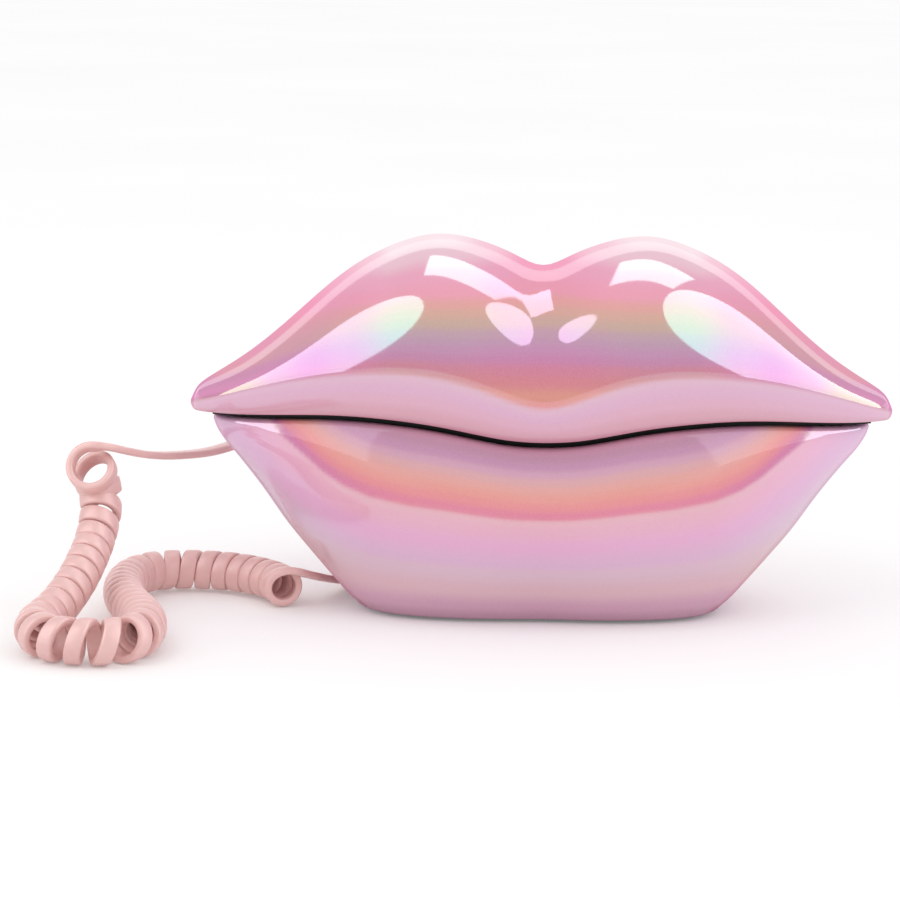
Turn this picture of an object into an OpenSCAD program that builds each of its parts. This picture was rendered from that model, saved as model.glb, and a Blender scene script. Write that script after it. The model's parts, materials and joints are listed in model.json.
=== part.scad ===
// Lips-shaped novelty telephone: lower lip base, upper lip handset, curly cord.
// Front faces -Y, +X is the length, the feet stand on z = 0.

/* [Lips] */
// Overall length from mouth corner to mouth corner
lip_len = 210; // [200:1:220]
// Wall of the moulded shells
wall = 2.5; // [2:0.1:3]
// Open line between the two shells
lip_gap = 2; // [1.6:0.1:2.4]
// Stations along each lip shell
stations = 40; // [24:2:48]

/* [Keypad] */
// Width of one key across the handset
key_w = 10.5; // [9:0.5:11]
// Height of one key along the handset
key_h = 8; // [7:0.5:9]
// Travel of a key
key_travel = 1.5; // [1:0.1:1.6]

/* [Cord] */
// Outer diameter of the curled part
coil_d = 12.8; // [12:0.2:12.8]
// Diameter of the straight leads
lead_d = 3; // [2.4:0.2:3.6]

/* [Hidden] */
$fn = 48;
pink = [0.90, 0.62, 0.72];
black = [0.08, 0.08, 0.09];
green = [0.10, 0.35, 0.20];
steel = [0.70, 0.70, 0.72];
half = lip_len / 2;

// Height tables against distance from the middle
top_tab = [[0,102],[8,105],[16,108.4],[24,110.6],[32,111.2],[44,108.2],[60,99],[75,85.8],[90,73.6],[100,67.4],[104,63.6],[105,62]];
bulge_tab = [[0,67],[15,71],[30,75],[50,75.5],[72,72],[90,66.5],[105,60.5]];
seam_tab = [[0,56.4],[10,56.9],[20,58.5],[30,60.2],[45,61.7],[60,62],[75,61],[90,59.6],[105,58.4]];
// Lower lip tables against level, 0 at the bottom and 1 at the rim
half_w_tab = [[0,53],[0.03,55.5],[0.07,58],[0.16,62.8],[0.25,67.6],[0.42,76],[0.6,83.4],[0.77,90.8],[0.86,94.9],[0.94,97.5],[1,98.5]];
front_tab = [[0,27.5],[0.04,30],[0.1,32.6],[0.2,36.4],[0.4,43],[0.55,45.6],[0.66,46],[0.8,45],[0.92,42.6],[1,40]];
back_tab = [[0,28],[0.06,30.5],[0.2,36],[0.4,42],[0.62,44.5],[0.8,43.5],[1,40.5]];
round_x_tab = [[0,0.62],[0.3,0.8],[0.7,1],[1,1]];
round_y_tab = [[0,0.62],[0.3,0.85],[0.7,1.15],[1,1.25]];

function seg(tab, a, i = 0) = (i >= len(tab) - 2 || a < tab[i + 1][0]) ? i : seg(tab, a, i + 1);
function grad(tab, i) = i == 0 ? 0 : i == len(tab) - 1
  ? (tab[i][1] - tab[i - 1][1]) / (tab[i][0] - tab[i - 1][0])
  : (tab[i + 1][1] - tab[i - 1][1]) / (tab[i + 1][0] - tab[i - 1][0]);
// Smooth curve through a table
function smooth(tab, x) = let (a = abs(x), i = seg(tab, a), h = tab[i + 1][0] - tab[i][0],
  t = min(1, (a - tab[i][0]) / h))
  (2*t*t*t - 3*t*t + 1) * tab[i][1] + (t*t*t - 2*t*t + t) * h * grad(tab, i)
  + (3*t*t - 2*t*t*t) * tab[i + 1][1] + (t*t*t - t*t) * h * grad(tab, i + 1);

sx = 105 / half;
function taper(x) = pow(max(0, 1 - pow(x / (half * 1.0025), 2)), 0.625);
function seam_z(x) = smooth(seam_tab, x * sx);
function bulge_z(x) = smooth(bulge_tab, x * sx);
function top_z(x) = smooth(top_tab, x * sx);

// Section of the upper lip at x, drawn in by w: front seam edge, over the top, back seam edge
tm = 66;
nf = 3; nt = 7;
function upper_section(x, w) = let (c = taper(x), zt = top_z(x) - w * 1.2, zb = min(bulge_z(x), zt - 0.8), zm = seam_z(x),
  yf = -46 * c + w, ymf = -41.5 * c + w, yr = 3 * c, yb = 46 * c - w, ymb = 42 * c - w, k = 1 - cos(tm)) concat(
  [for (i = [0:nf]) let (a = tm * (1 - i / nf)) [x, yf + (ymf - yf) * (1 - cos(a)) / k, zb - (zb - zm) * sin(a) / sin(tm)]],
  [for (i = [1:nt]) let (a = 90 * i / nt) [x, yr + (yf - yr) * cos(a), zb + (zt - zb) * sin(a)]],
  [for (i = [nt - 1:-1:0]) let (a = 90 * i / nt) [x, yr + (yb - yr) * cos(a), zb + (zt - zb) * sin(a)]],
  [for (i = [1:nf]) let (a = tm * i / nf) [x, yb + (ymb - yb) * (1 - cos(a)) / k, zb - (zb - zm) * sin(a) / sin(tm)]]);
// Height of the outer skin of the upper lip over a point
function skin_z(x, y) = let (c = taper(x), yr = 3 * c, ye = y < yr ? -46 * c : 46 * c, q = (y - yr) / (ye - yr))
  bulge_z(x) + (top_z(x) - bulge_z(x)) * sqrt(max(0, 1 - q * q));
function quad(a, b, c, d) = [[a, b, c], [a, c, d]];
function flat2(v) = [for (a = v) each a];

module upper_shell() {
  n = stations; m = 2 * nf + 2 * nt;
  xo = [for (i = [0:n]) half * sin(-86 + 172 * i / n) / sin(86)];
  outer = [for (x = xo) upper_section(x, 0)];
  inner = [for (x = xo) upper_section(x * 0.945, wall)];
  pts = concat(flat2(outer), flat2(inner));
  s = m + 1; o2 = (n + 1) * s;
  faces = concat(
    [for (i = [0:n - 1], j = [0:m - 1]) each quad(i*s + j, (i+1)*s + j, (i+1)*s + j + 1, i*s + j + 1)],
    [for (i = [0:n - 1], j = [0:m - 1]) each quad(o2 + i*s + j, o2 + i*s + j + 1, o2 + (i+1)*s + j + 1, o2 + (i+1)*s + j)],
    [for (j = [1:m - 1]) [0, j, j + 1]],
    [for (j = [1:m - 1]) [n*s, n*s + j + 1, n*s + j]],
    [for (j = [1:m - 1]) [o2, o2 + j + 1, o2 + j]],
    [for (j = [1:m - 1]) [o2 + n*s, o2 + n*s + j, o2 + n*s + j + 1]],
    [for (i = [0:n - 1]) each quad(i*s, o2 + i*s, o2 + (i+1)*s, (i+1)*s)],
    [for (i = [0:n - 1]) each quad(i*s + m, (i+1)*s + m, o2 + (i+1)*s + m, o2 + i*s + m)],
    quad(0, m, o2 + m, o2), quad(n*s, o2 + n*s, o2 + n*s + m, n*s + m));
  polyhedron(pts, [for (g = faces) [g[2], g[1], g[0]]], convexity = 8);
}

// Ring of the lower lip at level v, drawn in by w
ring_n = 56;
function lower_ring(v, w) = let (a = smooth(half_w_tab, v) / sx - w * 1.5, bf = smooth(front_tab, v) - w, bb = smooth(back_tab, v) - w,
  ex = smooth(round_x_tab, v), ey = smooth(round_y_tab, v))
  [for (i = [0:ring_n - 1]) let (th = 360 * i / ring_n, c = cos(th), s = sin(th),
    x = a * sign(c) * pow(abs(c), ex),
    y0 = (s < 0 ? bf : bb) * sign(s) * pow(abs(s), ey),
    dip = s < 0 ? 2 * exp(-pow(x / 13, 2)) * exp(-pow((v - 0.3) / 0.35, 2)) * s * s : 0)
    [x, y0 + dip, 1 + (seam_z(x) - lip_gap - 1) * v]];
levels = [0, 0.03, 0.07, 0.13, 0.2, 0.28, 0.37, 0.46, 0.55, 0.63, 0.71, 0.79, 0.86, 0.92, 0.96, 1];

module lower_shell() {
  k = len(levels) - 1; n = ring_n; o2 = (k + 1) * n;
  pts = concat(flat2([for (v = levels) lower_ring(v, 0)]), flat2([for (v = levels) lower_ring(v, wall)]));
  faces = concat(
    [for (l = [0:k - 1], i = [0:n - 1]) let (j = (i + 1) % n) each quad(l*n + i, (l+1)*n + i, (l+1)*n + j, l*n + j)],
    [for (l = [0:k - 1], i = [0:n - 1]) let (j = (i + 1) % n) each quad(o2 + l*n + i, o2 + l*n + j, o2 + (l+1)*n + j, o2 + (l+1)*n + i)],
    [for (i = [0:n - 1]) let (j = (i + 1) % n) each quad(k*n + i, o2 + k*n + i, o2 + k*n + j, k*n + j)],
    [for (i = [0:n - 1]) let (j = (i + 1) % n) each quad(i, j, o2 + j, o2 + i)]);
  polyhedron(pts, faces, convexity = 8);
}

// Slab that follows the seam wave between two offsets from it
module wave(lo, hi, len_x) {
  n = 42;
  xs = [for (i = [0:n]) -len_x / 2 + len_x * i / n];
  rotate([90, 0, 0]) linear_extrude(120, center = true)
    polygon(concat([for (x = xs) [x, seam_z(x) + lo]], [for (i = [n:-1:0]) [xs[i], seam_z(xs[i]) + hi]]));
}
// Plan outlines just inside the two shells
module handset_plan(g) {
  n = 30;
  xs = [for (i = [0:n]) half * 0.93 * sin(-84 + 168 * i / n) / sin(84)];
  polygon(concat([for (x = xs) [x, -41.5 * taper(x) + wall + g]], [for (i = [n:-1:0]) [xs[i], 42 * taper(xs[i]) - wall - g]]));
}
module base_plan(v, g) polygon([for (p = lower_ring(v, wall + g)) [p[0], p[1]]]);

// Screw with a pan head, head at the bottom, point up
module screw_up(d, head, length) {
  rotate_extrude() polygon([[0,0],[head*0.3,0],[head/2,0.5],[head/2,1.6],[d/2,1.6],[d/2,length - 1],[0.3,length],[0,length]]);
}
module cross_slot(head) for (a = [0, 90]) rotate(a) translate([-head * 0.25, -0.4, -0.1]) cube([head * 0.5, 0.8, 0.9]);

// ---- base ----
boss_xy = [[-36, -17], [36, -17], [-40, 17], [40, 17]];
module base_shell() color(pink) difference() {
  union() {
    lower_shell();
    for (p = boss_xy) {
      translate([p[0], p[1], 3.8]) cylinder(d = 7, h = 14);
      translate([p[0] - 1, 0, 0]) rotate([90, 0, 90]) linear_extrude(2)
        polygon(p[1] < 0 ? [[-18, 4], [-28, 4], [-34.4, 16], [-18, 16]] : [[18, 4], [28.2, 4], [33.4, 16], [18, 16]]);
    }
  }
  for (p = boss_xy) translate([p[0], p[1], 3]) cylinder(d = 2.4, h = 12);
  translate([17.2, 20, 11.4]) cube([15.6, 40, 13.4]);
  translate([-29.6, 20, 11.4]) cube([11.2, 40, 10.9]);
  translate([-12, 20, 12.6]) cube([9, 40, 3.8]);
  translate([3, 20, 12.6]) cube([9, 40, 3.8]);
}
post_xy = [[-29, -8], [29, -8], [-31, 14], [31, 14]];
feet_xy = [[-36, -6], [36, -6], [-28, 19], [28, 19]];
module bottom_cover() color(black) difference() {
  union() {
    translate([0, 0, 1]) linear_extrude(2.6) base_plan(0, 0.3);
    for (p = post_xy) translate([p[0], p[1], 3.2]) cylinder(d = 5, h = 6.8);
    translate([0, 2, 3.2]) difference() { cylinder(d = 31, h = 3); translate([0,0,-1]) cylinder(d = 28, h = 6); }
  }
  for (p = boss_xy) { translate([p[0], p[1], 0]) cylinder(d = 3.1, h = 5); translate([p[0], p[1], 0]) cylinder(d = 6.2, h = 2.4); }
  for (p = post_xy) translate([p[0], p[1], 4]) cylinder(d = 1.7, h = 8);
  for (p = feet_xy) translate([p[0], p[1], 0]) cylinder(d = 10.2, h = 2);
  for (i = [-2:2]) translate([i * 4 - 0.8, -4, 0]) cube([1.6, 12, 5]);
}
module rubber_feet() color([0.15, 0.15, 0.15]) for (p = feet_xy) translate([p[0], p[1], 0])
  rotate_extrude() polygon([[0,0],[4.4,0],[5,0.6],[5,2],[0,2]]);
module bottom_screws() color(steel) for (p = boss_xy) translate([p[0], p[1], 0.8])
  difference() { screw_up(2.4, 5.6, 11); cross_slot(5.6); }
module cradle_tray() color(black) difference() {
  union() {
    intersection() { linear_extrude(90) base_plan(1, 0.3); wave(-lip_gap - 2.6, -lip_gap + 0.85, 220); }
    for (s = [0, 1]) translate([s ? 52.4 : 29.6, -4, 40]) cube([2, 8, 19.6]);
  }
  translate([42, 0, 50]) cylinder(d = 6.6, h = 20);
  translate([42, 0, 60]) cylinder(d1 = 6.6, d2 = 9, h = 1.2);
}
module base_pcb() color(green) difference() {
  translate([-35, -12, 10]) cube([70, 30, 1.6]);
  for (p = post_xy) translate([p[0], p[1], 9]) cylinder(d = 2.2, h = 4);
}
module base_pcb_screws() color(steel) for (p = post_xy) translate([p[0], p[1], 13.3]) rotate([180, 0, 0])
  difference() { screw_up(1.7, 4, 7.4); cross_slot(4); }
module ringer() color([0.75, 0.62, 0.25]) translate([0, 2, 3.8]) difference() {
  cylinder(d = 27, h = 4.4);
  translate([0, 0, -1]) cylinder(d = 6, h = 2.2);
}
module base_weight() color(steel) translate([-28, -23, 3.8]) cube([56, 9.6, 6]);

// Modular socket, open mouth to the back: w x h outside, mw x mh mouth
module modular_jack(w, h, l, mw, mh, depth) difference() {
  cube([w, l, h]);
  translate([(w - mw) / 2, l - depth, 1.6]) cube([mw, depth + 1, mh]);
  translate([w / 2 - 1.8, l - depth + 2, 1.6 + mh - 0.2]) cube([3.6, depth, 1.6]);
}
module line_jack() color(black) translate([17.5, 17.6, 11.6]) modular_jack(15, 13, 17.9, 9.8, 6.8, 12);
module base_handset_jack() color(black) translate([-29.3, 18.6, 11.6]) modular_jack(10.6, 10.4, 16.9, 7.8, 6.8, 11);
module slide_switch(x) color(steel) difference() {
  translate([x - 6.5, 13, 11.6]) cube([13, 6, 5.8]);
  translate([x - 4, 15, 13]) cube([8, 5, 3]);
}
module slide_knob(x) color(black) {
  translate([x - 3.6, 15.5, 13.2]) cube([3, 24.3, 2.6]);
}
module ringer_switch() slide_switch(-7.5);
module ringer_switch_knob() slide_knob(-7.5);
module tone_switch() slide_switch(7.5);
module tone_switch_knob() slide_knob(7.5);
module hook_switch() color([0.2, 0.2, 0.22]) union() {
  translate([31.8, -3.2, 41.6]) cube([20.4, 6.4, 9.8]);
  translate([40.8, -1.4, 51.2]) cube([2.4, 2.8, 0.8]);
  for (i = [0:2]) translate([34 + i * 7, -0.4, 37.6]) cube([1.2, 0.8, 4.2]);
}
module hook_plunger() color([0.45, 0.45, 0.47]) translate([42, 0, 52.2]) rotate_extrude()
  polygon([[0,0],[4.5,0],[4.5,0.8],[3,0.8],[3,7.4],[2.4,8.1],[0,8.1]]);

// ---- handset ----
hs_boss = [[-86, 0], [86, 0], [-40, -24], [40, -24], [-40, 24], [40, 24]];
function boss_top(p) = min([for (a = [0:45:315]) skin_z(p[0] + 3.5 * cos(a), p[1] + 3.5 * sin(a))]) - 1;
module handset_shell() color(pink) difference() {
  union() {
    upper_shell();
    for (p = hs_boss) let (z0 = seam_z(p[0]) + 3) translate([p[0], p[1], z0]) cylinder(d = 7, h = boss_top(p) - z0);
  }
  for (p = hs_boss) translate([p[0], p[1], 60]) cylinder(d = 2.4, h = seam_z(p[0]) + 11 - 60);
  translate([-67.8, 25, 64]) cube([11.6, 30, 11.4]);
}
pan = [-35, -24.5, 68, 49];
pan_z = 61.2;
rows = [24, 12, 0, -12, -25];
cols = [-14, 0, 14];
module rect_ring(r, t, z0, z1) translate([0, 0, z0]) linear_extrude(z1 - z0) difference() {
  translate([r[0] - t, r[1] - t]) square([r[2] + 2 * t, r[3] + 2 * t]);
  translate([r[0], r[1]]) square([r[2], r[3]]);
}
module handset_face() color(black) difference() {
  union() {
    difference() {
      intersection() { linear_extrude(90) handset_plan(0.3); wave(-0.85, 2.4, 200); }
      translate([pan[0], pan[1], 40]) cube([pan[2], pan[3], 40]);
    }
    difference() {
      rect_ring(pan, 2, 50, pan_z + 2);
      wave(-30, -0.85, 220);
    }
    translate([pan[0] - 1, pan[1] - 1, pan_z]) cube([pan[2] + 2, pan[3] + 2, 2]);
    for (x = [-33, 31], y = [-22, 22]) translate([x, y, pan_z + 1]) cylinder(d = 4.6, h = 5.8);
    translate([62, 0, 63]) difference() { cylinder(d = 34, h = 8); translate([0, 0, -2]) cylinder(d = 30.6, h = 12); }
  }
  for (x = rows, y = cols) translate([x - key_h / 2 - 0.3, y - key_w / 2 - 0.3, 55]) cube([key_h + 0.6, key_w + 0.6, 12]);
  for (x = [-33, 31], y = [-22, 22]) translate([x, y, 63.6]) cylinder(d = 1.7, h = 8);
  for (p = hs_boss) { translate([p[0], p[1], 50]) cylinder(d = 3.1, h = 20); translate([p[0], p[1], 50]) cylinder(d = 6.2, h = seam_z(p[0]) + 1.1 - 50); }
  translate([62, 0, 55]) { cylinder(d = 2, h = 12); for (a = [0:60:300]) rotate(a) translate([5, 0, 0]) cylinder(d = 2, h = 12);
    for (a = [0:30:330]) rotate(a + 15) translate([10, 0, 0]) cylinder(d = 2, h = 12); }
  for (a = [0:120:240]) translate([-62, 0, 55]) rotate(a) translate([1.8, 0, 0]) cylinder(d = 1.5, h = 12);
}
module handset_screws() color(steel) for (p = hs_boss) translate([p[0], p[1], seam_z(p[0]) - 0.5])
  difference() { screw_up(2.4, 5.6, 10); cross_slot(5.6); }
module keypad_membrane() color([0.55, 0.55, 0.58]) union() {
  translate([-31, -19.5, 67.2]) cube([60, 39, 0.8]);
  for (x = rows, y = cols) translate([x, y, 66.2]) cylinder(d = 6, h = 1.2);
}
module handset_pcb() color(green) difference() {
  translate([-35.5, -24, 68]) cube([69, 48, 1.6]);
  for (x = [-33, 31], y = [-22, 22]) translate([x, y, 60]) cylinder(d = 2.2, h = 12);
}
module handset_pcb_screws() color(steel) for (x = [-33, 31], y = [-22, 22]) translate([x, y, 71.3]) rotate([180, 0, 0])
  difference() { screw_up(1.7, 4, 6.6); cross_slot(4); }
module earpiece() color([0.25, 0.25, 0.27]) translate([62, 0, 65.8]) rotate_extrude()
  polygon([[0,0.6],[11,0.6],[12,0],[15,0],[15,4.4],[11,4.4],[10,8.4],[0,8.4]]);
module earpiece_gasket() color([0.1, 0.1, 0.1]) translate([62, 0, 64.7]) difference() {
  cylinder(d = 30, h = 1.1); translate([0, 0, -1]) cylinder(d = 24, h = 4); }
module microphone() color(steel) translate([-62, 0, 65.4]) cylinder(d = 9.6, h = 6);
module microphone_boot() color([0.1, 0.1, 0.1]) translate([-62, 0, 64.6]) difference() {
  cylinder(d = 13, h = 7.2);
  translate([0, 0, 0.8]) cylinder(d = 9.6, h = 8);
  translate([0, 0, -1]) cylinder(d = 5, h = 4);
}
module handset_jack() color(black) translate([-67.3, 16, 64.6]) modular_jack(10.6, 10.4, 16.5, 7.8, 6.8, 11);

// Key: cap below the panel, flange above it
module key(x, y) color([0.93, 0.93, 0.94]) translate([x, y, 0]) union() {
  translate([-key_h / 2, -key_w / 2, 59.9]) cube([key_h, key_w, 3.6]);
  translate([-key_h / 2 - 0.9, -key_w / 2 - 0.9, 63.3]) cube([key_h + 1.8, key_w + 1.8, 1]);
}
module key_1() key(rows[0], cols[0]);
module key_2() key(rows[0], cols[1]);
module key_3() key(rows[0], cols[2]);
module key_4() key(rows[1], cols[0]);
module key_5() key(rows[1], cols[1]);
module key_6() key(rows[1], cols[2]);
module key_7() key(rows[2], cols[0]);
module key_8() key(rows[2], cols[1]);
module key_9() key(rows[2], cols[2]);
module key_star() key(rows[3], cols[0]);
module key_0() key(rows[3], cols[1]);
module key_hash() key(rows[3], cols[2]);
module key_redial() key(rows[4], cols[0]);
module key_flash() key(rows[4], cols[1]);
module key_mute() key(rows[4], cols[2]);

// ---- cord ----
// Centre line of the curled part, from the handset end to the base end
coil_route = [[-131,-22.5,45],[-130.4,-19.3,41.6],[-130,-18.2,38],[-129.6,-19,34.3],[-129.6,-21.8,30.8],[-129.9,-25.8,26.9],[-130.8,-31,22.5],
  [-132.3,-38,18.5],[-134.2,-45,14.6],[-136.8,-52,11],[-139.6,-59,8.2],[-142,-67,7],[-141.5,-75,6.8],[-138.5,-81,6.8],[-133,-85,6.8],[-126,-86.8,6.8],[-119.3,-86,6.8],
  [-114.5,-81.5,6.8],[-112.3,-74,6.8],[-112.5,-64,6.8],[-114.9,-53,6.8],[-118.6,-42,6.8],[-121.6,-31,6.7],[-123.2,-20,6.6],[-123.6,-10,6.5],[-122.2,-1,6.5],
  [-118.6,6,6.5],[-113,9.6,6.5],[-106.5,10.8,6.5],[-100,10.4,6.5],[-93.5,8.4,6.5],[-87,4.6,6.5],[-81.4,-1,6.5],[-77.4,-7.2,6.5],[-75.8,-13.5,6.5]];
lead_handset_route = [[-62,37.9,69.6],[-62,44,69.6],[-62.5,50,68],[-64,54.5,63.5],[-68,56.5,56.5],[-75,54.5,49.5],[-84,46,44.8],[-92,34,42.4],[-98,22,42],
  [-103.2,13.6,42.2],[-108.5,6,43],[-114,0,44.2],[-119,-6,45.8],[-124,-11.5,47.6],[-127.6,-15.6,48.2],[-130,-18.5,46.5]];
lead_base_route = [[-73,-10.5,10],[-69,-6,9.2],[-65,1,5.6],[-61,10,2.2],[-57,20,1.7],[-53,31,1.7],[-48,42,1.8],[-40,50,2.4],[-31,54,5.5],[-25.5,53,11],[-24,48,15.4],[-24,43.5,16.6],[-24,41.2,16.6]];
function crom(p, i, t) = let (n = len(p), a = p[max(0, i - 1)], b = p[i], c = p[min(n - 1, i + 1)], d = p[min(n - 1, i + 2)])
  0.5 * ((2 * b) + (c - a) * t + (2 * a - 5 * b + 4 * c - d) * t * t + (3 * b - a - 3 * c + d) * t * t * t);
function path(p, k) = concat([for (i = [0:len(p) - 2], j = [0:k - 1]) crom(p, i, j / k)], [p[len(p) - 1]]);
function unit(v) = v / norm(v);
function tangent(q, i) = unit(q[min(len(q) - 1, i + 1)] - q[max(0, i - 1)]);
function frames(q, i, prev) = let (t = tangent(q, i), u = unit(prev - t * (prev * t)))
  i == len(q) - 1 ? [[t, u]] : concat([[t, u]], frames(q, i + 1, u));
module tube(route, k, d, sides) {
  q = path(route, k);
  t0 = tangent(q, 0);
  f = frames(q, 0, abs(t0[2]) > 0.9 ? [1, 0, 0] : [0, 0, 1]);
  n = len(q);
  pts = [for (i = [0:n - 1], j = [0:sides - 1]) let (a = 360 * j / sides, u = f[i][1], w = cross(f[i][0], u))
    q[i] + d / 2 * (cos(a) * u + sin(a) * w)];
  faces = concat(
    [for (i = [0:n - 2], j = [0:sides - 1]) let (b = (j + 1) % sides) each quad(i*sides + j, i*sides + b, (i+1)*sides + b, (i+1)*sides + j)],
    [for (j = [1:sides - 2]) [0, j + 1, j]],
    [for (j = [1:sides - 2]) [(n-1)*sides, (n-1)*sides + j, (n-1)*sides + j + 1]]);
  polyhedron(pts, [for (g = faces) [g[2], g[1], g[0]]], convexity = 6);
}
module cord_coil() color(pink) tube(coil_route, 1, coil_d, 12);
module cord_lead_handset() color(pink) tube(lead_handset_route, 1, lead_d, 8);
module cord_lead_base() color(pink) tube(lead_base_route, 1, lead_d, 8);
// Clear plug with its latch on top, nose towards -Y
module plug(x, y, z) color([0.85, 0.87, 0.88]) translate([x, y, z]) union() {
  translate([-3.7, 0, -3.2]) cube([7.4, 12.6, 6.4]);
  translate([-1.5, 1, 3.1]) cube([3, 10.5, 1.2]);
}
module plug_handset() plug(-62, 25, 69.6);
module plug_base() plug(-24, 28.6, 16.6);

base_shell();
bottom_cover();
rubber_feet();
bottom_screws();
cradle_tray();
base_pcb();
base_pcb_screws();
ringer();
base_weight();
line_jack();
base_handset_jack();
ringer_switch();
ringer_switch_knob();
tone_switch();
tone_switch_knob();
hook_switch();
hook_plunger();
handset_shell();
handset_face();
handset_screws();
keypad_membrane();
handset_pcb();
handset_pcb_screws();
earpiece();
earpiece_gasket();
microphone();
microphone_boot();
handset_jack();
key_1();
key_2();
key_3();
key_4();
key_5();
key_6();
key_7();
key_8();
key_9();
key_star();
key_0();
key_hash();
key_redial();
key_flash();
key_mute();
cord_coil();
cord_lead_handset();
cord_lead_base();
plug_handset();
plug_base();
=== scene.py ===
import json
import math
import bmesh
import bpy
import numpy as np
from mathutils import Matrix, Vector


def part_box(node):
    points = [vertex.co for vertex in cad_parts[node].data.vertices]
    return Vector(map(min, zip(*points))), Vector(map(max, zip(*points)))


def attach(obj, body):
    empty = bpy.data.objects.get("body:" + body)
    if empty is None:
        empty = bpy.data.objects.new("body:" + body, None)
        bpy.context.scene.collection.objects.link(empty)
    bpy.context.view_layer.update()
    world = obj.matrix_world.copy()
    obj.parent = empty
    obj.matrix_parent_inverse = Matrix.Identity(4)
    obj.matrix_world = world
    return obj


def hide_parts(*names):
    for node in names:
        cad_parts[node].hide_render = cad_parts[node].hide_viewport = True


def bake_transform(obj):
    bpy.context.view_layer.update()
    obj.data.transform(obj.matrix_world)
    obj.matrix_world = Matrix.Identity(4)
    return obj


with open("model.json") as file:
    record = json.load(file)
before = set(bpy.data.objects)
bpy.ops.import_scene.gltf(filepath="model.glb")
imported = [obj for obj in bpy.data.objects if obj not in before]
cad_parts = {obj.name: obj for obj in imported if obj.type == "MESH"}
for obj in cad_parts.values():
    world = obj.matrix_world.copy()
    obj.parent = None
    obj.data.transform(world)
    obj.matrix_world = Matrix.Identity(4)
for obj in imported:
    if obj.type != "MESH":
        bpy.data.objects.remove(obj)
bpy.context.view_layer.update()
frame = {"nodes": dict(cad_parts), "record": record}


scene = bpy.context.scene
nodes = frame["nodes"]
MM = 0.001

# ------------------------------------------------------------------ camera
F_PX = 3333.3
AZ, EL, ROLL, DIST = math.radians(-1.0), math.radians(10.0), math.radians(1.0), 1.0
fwd = np.array([-math.sin(AZ) * math.cos(EL), math.cos(AZ) * math.cos(EL), -math.sin(EL)])
right = np.cross(fwd, [0, 0, 1.0]); right /= np.linalg.norm(right)
up = np.cross(right, fwd)
eye = np.array([0, 0, 0.050]) - fwd * DIST
cr, sr = math.cos(ROLL), math.sin(ROLL)


def raw_px(p):
    d = np.array(p) - eye
    x, y, z = d @ right, d @ up, d @ fwd
    u, v = F_PX * x / z, -F_PX * y / z
    return np.array([u * cr - v * sr, u * sr + v * cr])


off = np.array([539.0, 624.0]) - raw_px([0, -0.028, 0])
cx, cy = np.array([450.0, 450.0]) - off
ux, uy = cx * cr + cy * sr, -cx * sr + cy * cr
look = right * (ux / F_PX) - up * (uy / F_PX) + fwd
look /= np.linalg.norm(look)
rr = right * cr + up * sr
rr = rr - look * (rr @ look); rr /= np.linalg.norm(rr)
uu = np.cross(rr, look)
cam_data = bpy.data.cameras.new("camera")
cam_data.sensor_width = 36.0
cam_data.lens = 133.33
cam_data.clip_start = 0.05
cam_data.clip_end = 50
cam = bpy.data.objects.new("camera", cam_data)
scene.collection.objects.link(cam)
cam.matrix_world = Matrix(((rr[0], uu[0], -look[0], eye[0]),
                           (rr[1], uu[1], -look[1], eye[1]),
                           (rr[2], uu[2], -look[2], eye[2]), (0, 0, 0, 1)))
scene.camera = cam
scene.view_settings.view_transform = 'Standard'
scene.view_settings.look = 'None'


# ------------------------------------------------------------------ helpers
def link(obj):
    scene.collection.objects.link(obj)
    return obj


def mesh_object(name, verts, faces, smooth=None):
    me = bpy.data.meshes.new(name)
    me.from_pydata([tuple(map(float, v)) for v in verts], [], [tuple(map(int, f)) for f in faces])
    me.validate()
    me.update()
    ob = link(bpy.data.objects.new(name, me))
    if smooth is not None:
        shade(ob, smooth)
    return ob


def shade(ob, angle=35):
    me = ob.data
    me.polygons.foreach_set("use_smooth", [True] * len(me.polygons))
    if angle < 180:
        me.set_sharp_from_angle(angle=math.radians(angle))
    me.update()


def applied(ob):
    """The object with its modifiers applied to its mesh."""
    dg = bpy.context.evaluated_depsgraph_get()
    dg.update()
    me = bpy.data.meshes.new_from_object(ob.evaluated_get(dg), preserve_all_data_layers=True, depsgraph=dg)
    ob.modifiers.clear()
    old = ob.data
    ob.data = me
    bpy.data.meshes.remove(old)
    return ob


def coords(ob):
    co = np.zeros(len(ob.data.vertices) * 3, np.float32)
    ob.data.vertices.foreach_get("co", co)
    return co.reshape(-1, 3).astype(float)


def put_attribute(ob, name, values):
    a = ob.data.attributes.get(name) or ob.data.attributes.new(name, "FLOAT", "POINT")
    a.data.foreach_set("value", np.asarray(values, np.float32))


def lin(c):
    """sRGB 0-255 to linear."""
    out = []
    for v in c:
        v = v / 255.0
        out.append(v / 12.92 if v <= 0.04045 else ((v + 0.055) / 1.055) ** 2.4)
    return tuple(out)


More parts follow.
